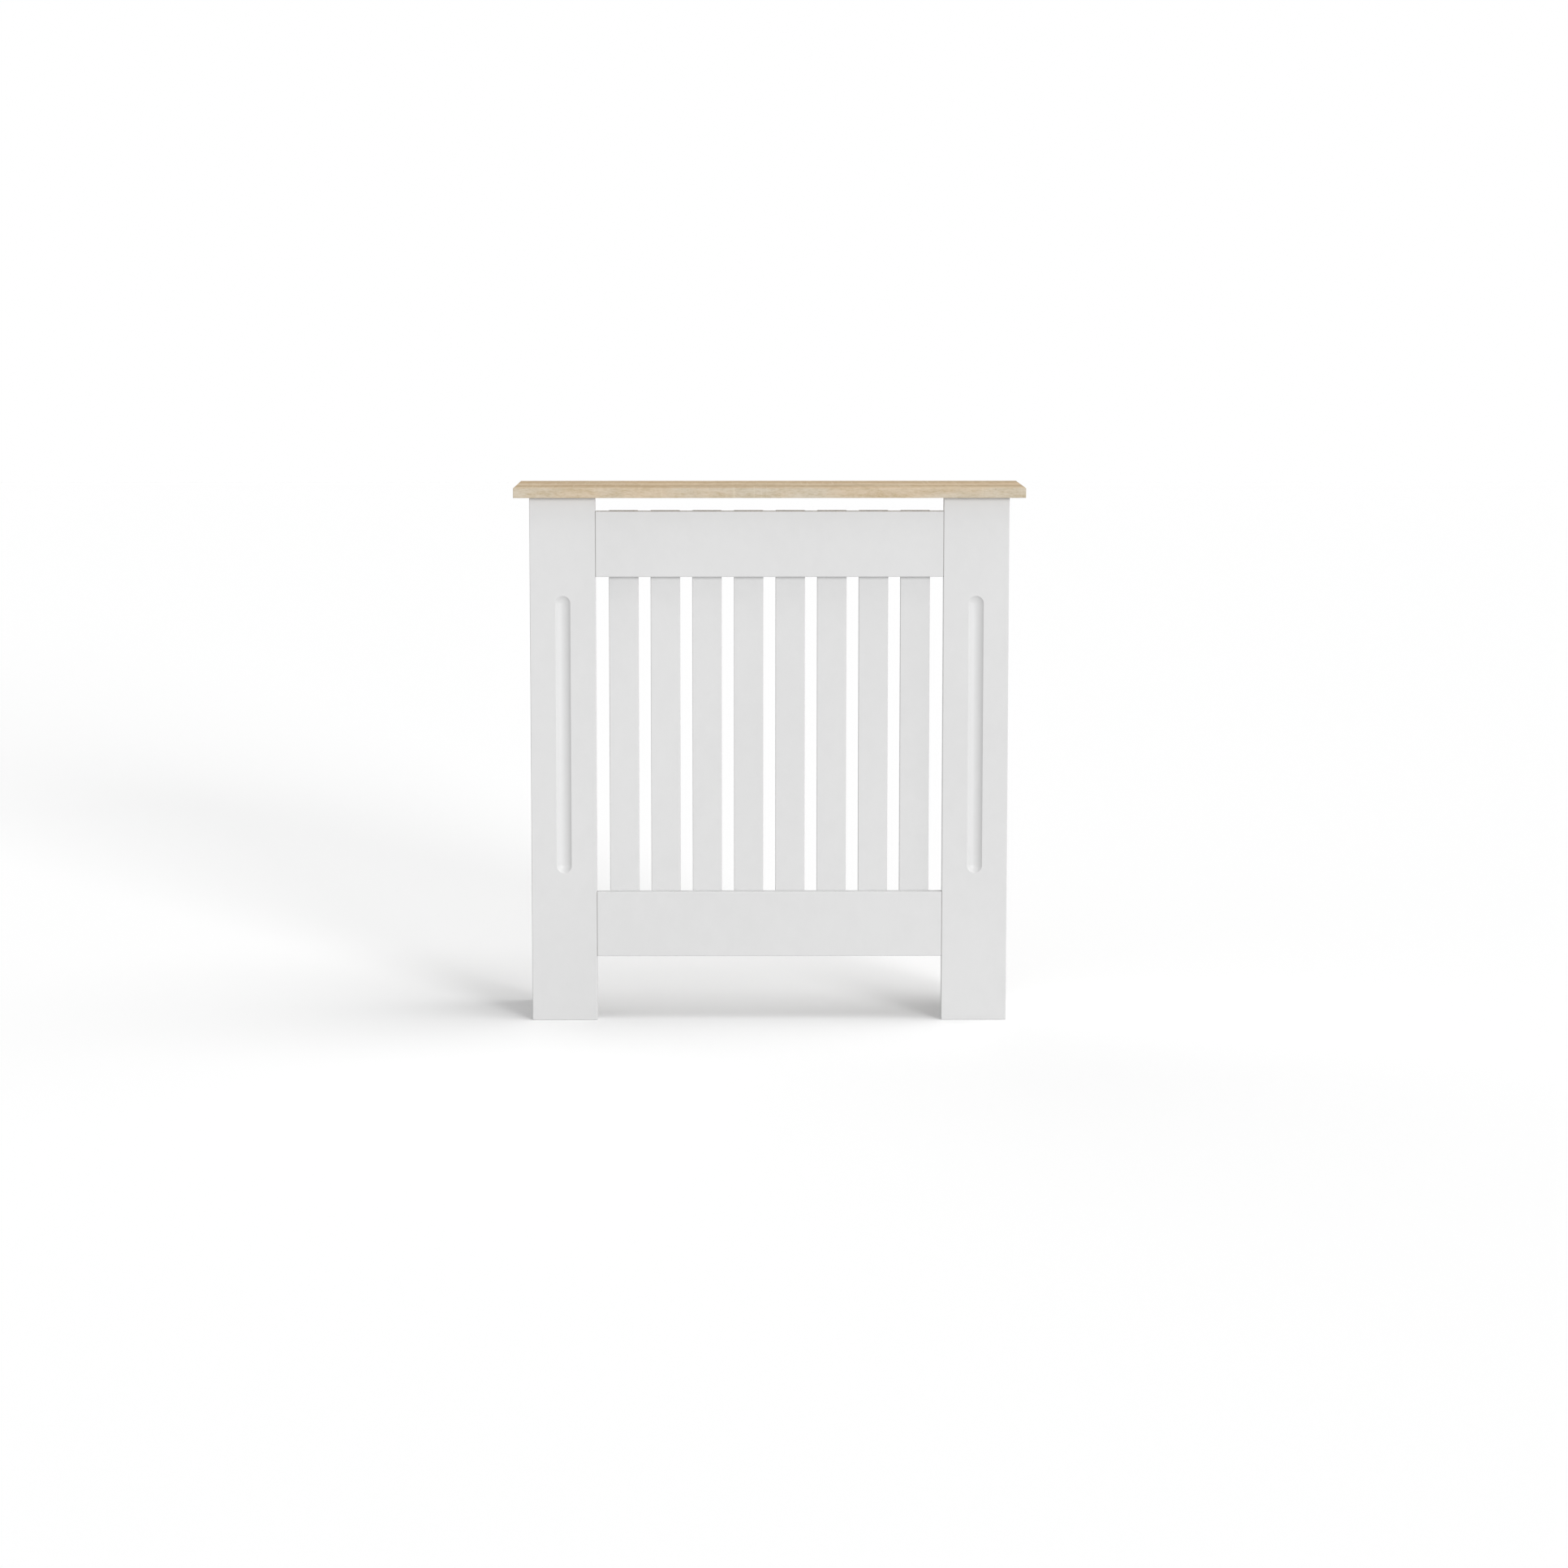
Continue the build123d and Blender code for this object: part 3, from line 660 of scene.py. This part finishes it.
def fluted_dowel():
    """A dowel with grooves along it: radius 4 less 0.22 times the fourth power of the cosine
    of six times the angle, and a chamfer at each end, where the grooves run out. Returns the
    form and, for each point, how far along and how far round it is, in metres."""
    columns = 72
    turn = np.arange(columns) * 2 * math.pi / columns
    groove = 0.22 * np.cos(6.0 * turn) ** 4
    half = [(0.0, 15.0), (1.6, 15.0), (3.15, 14.98), (3.55, 14.6), (4.0, 14.0), (4.0, 5.0)]
    outline = half + [(r, -h) for r, h in reversed(half)]
    reach, height = (part[:, None] for part in np.array(outline).T)
    depth = np.where(reach > 3.9, 1.0, np.where(reach > 3.4, 0.5, 0.0))
    radius = reach - depth * groove[None]
    height = np.broadcast_to(height, radius.shape)
    form = closed_turning(radius * MM, np.broadcast_to(turn, radius.shape), height * MM)
    round_way = turn[None] * np.maximum(reach, 1.0)
    grid = np.stack([height, round_way], axis=-1) * MM
    along = np.vstack([grid[1:-1].reshape(-1, 2), grid[0, :1], grid[-1, :1]])
    return form, along


def cam_mark():
    """A raised triangle on a cam's face, pointing out to the rim where its mouth is.

    Its outline is the distance from its middle to a side over the largest of three cosines,
    each measured from the middle of a side, softened by a power sum to round the corners.
    """
    columns, softness, to_side, way_out = 36, 9, 0.85, 5.35
    turn = np.arange(columns) * 2 * math.pi / columns
    sides = math.pi + np.radians([60.0, 180.0, 300.0])
    reach = np.maximum(np.cos(turn[None] - sides[:, None]), 0.0)
    outline = to_side / (reach**softness).sum(0) ** (1.0 / softness)
    top_rows = [(0.0, 0.18), (0.7, 0.18), (0.9, 0.16), (1.0, 0.08)]
    foot_rows = [(1.06, -0.06), (0.5, -0.06), (0.0, -0.06)]
    share, height = (part[:, None] for part in np.array(top_rows + foot_rows).T)
    radius = share * outline[None]
    angle = np.broadcast_to(turn, radius.shape)
    form = closed_turning(radius * MM, angle, np.broadcast_to(height, radius.shape) * MM)
    form[0][:, 0] -= way_out * MM
    return form


# ---- Where the fittings go ----------------------------------------------------------

# Each of these gives, for one side, where a bolt leaves its board and which way it points.


def rail_bolts(side):
    axis = (side, 0.0, 0.0)
    return {level: ((side * POST_INNER_X, FRAME_MID_Y, z), axis) for level, z in RAIL_MID_Z.items()}


def panel_bolts(side):
    axis = (0.0, 1.0, 0.0)
    return {level: ((side * PANEL_MID_X, POST_BACK_Y, z), axis) for level, z in PANEL_BOLT_Z.items()}


def top_bolts(side):
    axis = (0.0, 0.0, -1.0)
    return {end: ((side * PANEL_MID_X, y, UNDER_TOP_Z), axis) for end, y in TOP_BOLT_Y.items()}


BOLTS = {"rail": rail_bolts, "panel": panel_bolts, "top": top_bolts}


def dowel_places():
    """Where the middle of each dowel is, and its direction, by joint."""
    rails, panels, tops = [], [], []
    for side in SIDES.values():
        outwards, backwards, downwards = (side, 0.0, 0.0), (0.0, 1.0, 0.0), (0.0, 0.0, -1.0)
        for z in RAIL_MID_Z.values():
            for offset in (-RAIL_DOWEL_OFFSET, RAIL_DOWEL_OFFSET):
                middle = (side * POST_INNER_X, FRAME_MID_Y, z + offset)
                rails.append((middle, basis(outwards)))
        for z in PANEL_DOWEL_Z:
            middle = (side * PANEL_MID_X, POST_BACK_Y + DOWEL_SHIFT, z)
            panels.append((middle, basis(backwards)))
        for x, y in [(PANEL_MID_X, y) for y in TOP_DOWEL_Y] + [(POST_MID_X, FRAME_MID_Y)]:
            middle = (side * x, y, UNDER_TOP_Z - DOWEL_SHIFT)
            tops.append((middle, basis(downwards)))
    return {"rail": rails, "panel": panels, "top": tops}


def fit_slat_screws(finishes):
    screw = slat_screw()
    into_rail = (0.0, 1.0, 0.0)
    for level, z in RAIL_MID_Z.items():
        places = []
        for x, turn in zip(SLAT_X, SLAT_SCREW_TURNS):
            toward = (math.cos(turn), 0.0, math.sin(turn))
            places.append(((x, SLAT_SCREW_Y, z), basis(into_rail, toward)))
        form = copies(screw, places)
        stands_for = (f"{level}_slat_screws",)
        make_piece(f"{level}_slat_screw_set", form, finishes, "zinc_plated_screw", stands_for=stands_for)


def fit_bracket_screws(finishes):
    places = []
    for side in SIDES.values():
        for z, turn in zip(BRACKET_SCREW_Z, BRACKET_SCREW_TURNS):
            toward = (0.0, math.cos(turn), math.sin(turn))
            origin = (side * BRACKET_SCREW_X, BRACKET_SCREW_Y, z)
            places.append((origin, basis((-side, 0.0, 0.0), toward)))
    form = copies(bracket_screw(), places)
    stands_for = ("bracket_screws",)
    make_piece("bracket_screw_set", form, finishes, "zinc_plated_screw", stands_for=stands_for)


def fit_cam_bolts(finishes):
    bolt = cam_bolt()
    for kind, by_side in BOLTS.items():
        places = [(origin, basis(axis)) for s in SIDES.values() for origin, axis in by_side(s).values()]
        form = copies(bolt, places)
        stands_for = (f"{kind}_cam_bolts",)
        make_piece(f"{kind}_cam_bolt_set", form, finishes, "zinc_plated_bolt", stands_for=stands_for)


def fit_dowels(finishes):
    dowel, along = fluted_dowel()
    for kind, places in dowel_places().items():
        make_piece(
            f"{kind}_dowel_set",
            copies(dowel, places),
            finishes,
            "beech_dowel",
            stands_for=(f"{kind}_dowels",),
            along=np.tile(along, (len(places), 1)),
        )


def mark_cams(finishes):
    """Each cam's mark lies on its face and rides the cam, so that it turns with it."""
    mark = cam_mark()
    for side_name, side in SIDES.items():
        inwards, backwards = (-side, 0.0, 0.0), (0.0, 1.0, 0.0)
        for kind, by_side in BOLTS.items():
            face = backwards if kind == "rail" else inwards
            for where, (origin, axis) in by_side(side).items():
                cam = f"{side_name}_{where}_{kind}_cam"
                from_joint = np.array(axis)
                middle = np.array(origin) + from_joint * CAM_SETBACK + np.array(face) * CAM_FACE
                form = copies(mark, [(middle, basis(face, -from_joint))])
                make_piece(f"{cam}_mark", form, finishes, "die_cast_cam", body=cam)


# ---- Finishes on the boards and fittings that stay as drawn -------------------------


def make_finishes():
    post_bores = [
        (1, POST_INNER_X + CAM_SETBACK, z, CAM_BORE_RADIUS, *POST_BORE_Y) for z in RAIL_MID_Z.values()
    ]
    panel_bores = [
        (0, POST_BACK_Y + CAM_SETBACK, z, CAM_BORE_RADIUS, *PANEL_BORE_X) for z in PANEL_BOLT_Z.values()
    ]
    panel_bores += [
        (0, y, UNDER_TOP_Z - CAM_SETBACK, CAM_BORE_RADIUS, *PANEL_BORE_X) for y in TOP_BOLT_Y.values()
    ]
    right_slats = SLAT_X[SLAT_COUNT // 2 :]
    slat_bores = [
        (1, x, z, HEAD_BORE_RADIUS, *SLAT_BORE_Y) for x in right_slats for z in RAIL_MID_Z.values()
    ]
    finishes = {
        "painted_rail": painted_board("painted_rail", joint_shadowed=True),
        "painted_slat": painted_board("painted_slat", slat_bores),
        "painted_post": painted_board("painted_post", post_bores, joint_shadowed=True),
        "painted_side_panel": painted_board("painted_side_panel", panel_bores),
        "oak_effect_laminate": oak_effect_laminate(),
        "beech_dowel": beech_dowel(),
        "die_cast_cam": die_cast_cam(),
    }
    finishes.update({name: zinc_plate(name, *looks) for name, looks in ZINC_PLATES.items()})
    return finishes


def dress_nodes(finishes):
    """Each node that stays gets its finish."""
    wears = {
        "top_board": "oak_effect_laminate",
        "upper_rail": "painted_rail",
        "lower_rail": "painted_rail",
    }
    for number in range(1, SLAT_COUNT + 1):
        wears[f"slat_{number}"] = "painted_slat"
    for side in SIDES:
        wears[f"{side}_post"] = "painted_post"
        wears[f"{side}_side_panel"] = "painted_side_panel"
        wears[f"{side}_wall_bracket"] = "zinc_plated_bracket"
    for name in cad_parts:
        if name.endswith("_cam"):
            wears[name] = "die_cast_cam"
    for name, finish in wears.items():
        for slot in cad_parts[name].material_slots:
            slot.material = finishes[finish]


# ---- Floor, lamps and surroundings --------------------------------------------------

# Azimuth 0 is straight in front of the cabinet and 90 is to its right. A share is how
# bright a white surface that faces the lamp squarely would be, out of one, and the spread
# is how wide the lamp looks, in degrees.
LAMPS = {
    "room_lamp": {"azimuth": 30.0, "elevation": 11.0, "share": 0.55, "spread": 18.0},
    "high_lamp": {"azimuth": 80.0, "elevation": 66.0, "share": 0.38, "spread": 45.0},
    "side_lamp": {"azimuth": 96.0, "elevation": 12.0, "share": 0.135, "spread": 40.0},
    "left_lamp": {"azimuth": -50.0, "elevation": 10.0, "share": 0.03, "spread": 45.0},
    "rear_lamp": {"azimuth": 212.0, "elevation": 38.0, "share": 0.09, "spread": 45.0},
}
LAMP_DISTANCE = 5.0
SKY_SHARE = 0.455
WHITE = 1.0
FLOOR_GREY = 0.65
FLOOR_REACH = 14.0


def white_when(nodes, links, seen, otherwise):
    """One where the ray is one that sees the surface, and another level where it isn't."""
    level = nodes.new("ShaderNodeMapRange")
    level.inputs["To Min"].default_value = otherwise
    level.inputs["To Max"].default_value = WHITE
    links.new(seen, level.inputs["Value"])
    return level.outputs[0]


def lay_floor():
    """A plain pale floor. Its colour is white to the camera and pale grey to the light that
    bounces off it, so that the background is white and lights the cabinet less."""
    near, far = -FLOOR_REACH, FLOOR_REACH
    corners = [(near, near, 0.0), (far, near, 0.0), (far, far, 0.0), (near, far, 0.0)]
    mesh = bpy.data.meshes.new("floor")
    mesh.from_pydata(corners, [], [(0, 1, 2, 3)])
    material = bpy.data.materials.new("pale_floor")
    material.use_nodes = True
    nodes, links = material.node_tree.nodes, material.node_tree.links
    nodes.clear()
    path = nodes.new("ShaderNodeLightPath")
    matt = nodes.new("ShaderNodeBsdfDiffuse")
    out = nodes.new("ShaderNodeOutputMaterial")
    links.new(white_when(nodes, links, path.outputs["Is Camera Ray"], FLOOR_GREY), matt.inputs["Color"])
    links.new(matt.outputs[0], out.inputs["Surface"])
    mesh.materials.append(material)
    floor = bpy.data.objects.new("floor", mesh)
    bpy.context.scene.collection.objects.link(floor)


def surround():
    """White all round to the eye and in reflections, and a dimmer, even light on surfaces."""
    world = bpy.data.worlds.new("studio")
    world.use_nodes = True
    nodes, links = world.node_tree.nodes, world.node_tree.links
    nodes.clear()
    path = nodes.new("ShaderNodeLightPath")
    seen = path.outputs["Is Camera Ray"]
    for ray in ("Is Glossy Ray", "Is Transmission Ray"):
        either = nodes.new("ShaderNodeMath")
        either.operation = "MAXIMUM"
        links.new(seen, either.inputs[0])
        links.new(path.outputs[ray], either.inputs[1])
        seen = either.outputs[0]
    white = nodes.new("ShaderNodeBackground")
    white.inputs["Color"].default_value = (1.0, 1.0, 1.0, 1.0)
    out = nodes.new("ShaderNodeOutputWorld")
    links.new(white_when(nodes, links, seen, SKY_SHARE), white.inputs["Strength"])
    links.new(white.outputs[0], out.inputs["Surface"])
    bpy.context.scene.world = world


def hang_lamp(name, azimuth, elevation, share, spread):
    """A far, wide lamp that lights every place alike."""
    a, e = math.radians(azimuth), math.radians(elevation)
    away = np.array([math.sin(a) * math.cos(e), -math.cos(a) * math.cos(e), math.sin(e)])
    light = bpy.data.lights.new(name, "SUN")
    light.energy = share * math.pi
    light.angle = math.radians(spread)
    lamp = bpy.data.objects.new(name, light)
    level = np.cross((0.0, 0.0, 1.0), away) / math.cos(e)
    lamp.matrix_world = to_matrix(basis(away, level), away * LAMP_DISTANCE)
    bpy.context.scene.collection.objects.link(lamp)


place_camera()
lay_floor()
surround()
for name, lamp in LAMPS.items():
    hang_lamp(name, **lamp)
finishes = make_finishes()
dress_nodes(finishes)
fit_slat_screws(finishes)
fit_bracket_screws(finishes)
fit_cam_bolts(finishes)
fit_dowels(finishes)
mark_cams(finishes)

bpy.context.scene.view_settings.view_transform = "Standard"
